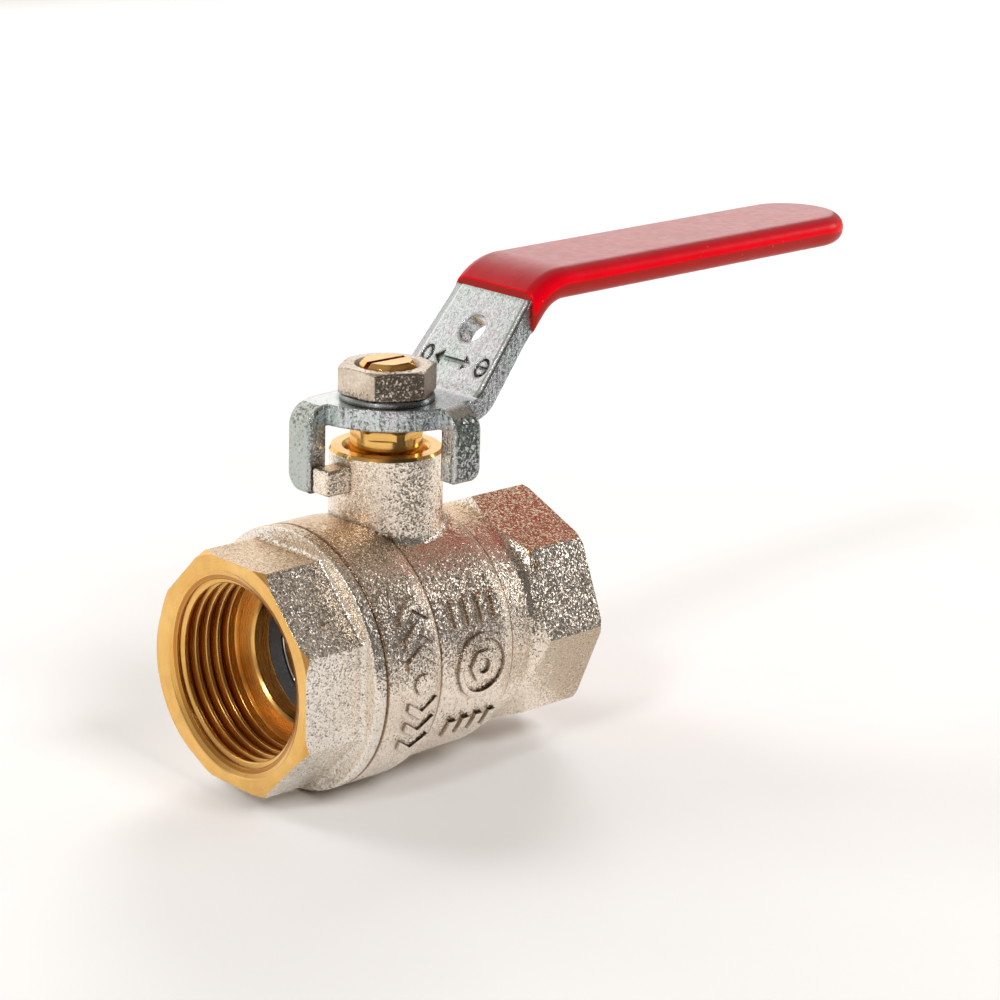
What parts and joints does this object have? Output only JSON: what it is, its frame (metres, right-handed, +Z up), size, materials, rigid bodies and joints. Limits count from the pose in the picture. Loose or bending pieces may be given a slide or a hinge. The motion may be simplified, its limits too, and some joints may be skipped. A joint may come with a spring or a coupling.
{
  "type": "ball valve",
  "caption": "Quarter-turn ball valve with two female pipe-thread ports; a bent steel lever with a soft sleeve turns the stem and ball together against a stop lug.",
  "frame": {"origin": "the ball's centre, where the pipe axis and the stem axis cross", "axes": "+X along the pipe axis from the screwed-in end connector to the body's own port, +Z up the stem; open at rest, with the lever along +X"},
  "size_m": [0.1143, 0.0366, 0.0686],
  "materials": {
    "nickel_brass_body": "shot-blasted forged brass with rough nickel plating, machined brass left golden at the port",
    "nickel_brass_connector": "shot-blasted forged brass with rough nickel plating, machined brass left golden at the face and thread",
    "chromed_ball": "polished chrome plating on brass",
    "ptfe_seat": "smooth dark grey filled PTFE",
    "ptfe_packing": "smooth white PTFE",
    "black_rubber": "smooth black nitrile rubber",
    "stem_brass": "turned brass, slightly dulled",
    "gland_brass": "turned brass, dull",
    "zinc_steel_lever": "bright zinc plating on stamped steel sheet",
    "zinc_steel_washer": "bright zinc plating",
    "nickel_nut": "warm nickel plating",
    "red_sleeve": "dip-moulded red vinyl with a soft gloss"
  },
  "bodies": {
    "valve_body": {"body": "nickel_brass_body", "end_connector": "nickel_brass_connector", "inlet_seat": "ptfe_seat", "outlet_seat": "ptfe_seat", "thrust_washer": "ptfe_packing", "packing_ring_lower": "ptfe_packing", "packing_ring_upper": "ptfe_packing", "gland_nut": "gland_brass"},
    "lever_stem": {"stem": "stem_brass", "stem_o_ring": "black_rubber", "lever": "zinc_steel_lever", "lever_grip": "red_sleeve", "lever_washer": "zinc_steel_washer", "stem_nut": "nickel_nut"},
    "ball": {"ball": "chromed_ball"}
  },
  "joints": [
    {"name": "lever_turn", "type": "hinge", "parent": "valve_body", "child": "lever_stem", "pos_m": [0, 0, 0.032], "axis": [0, 0, 1], "range_deg": [-90, 0]},
    {"name": "ball_turn", "type": "hinge", "parent": "valve_body", "child": "ball", "pos_m": [0, 0, 0], "axis": [0, 0, 1], "range_deg": [-90, 0]}
  ],
  "couplings": [
    {"joint": "ball_turn", "follows": "lever_turn", "ratio": 1}
  ]
}
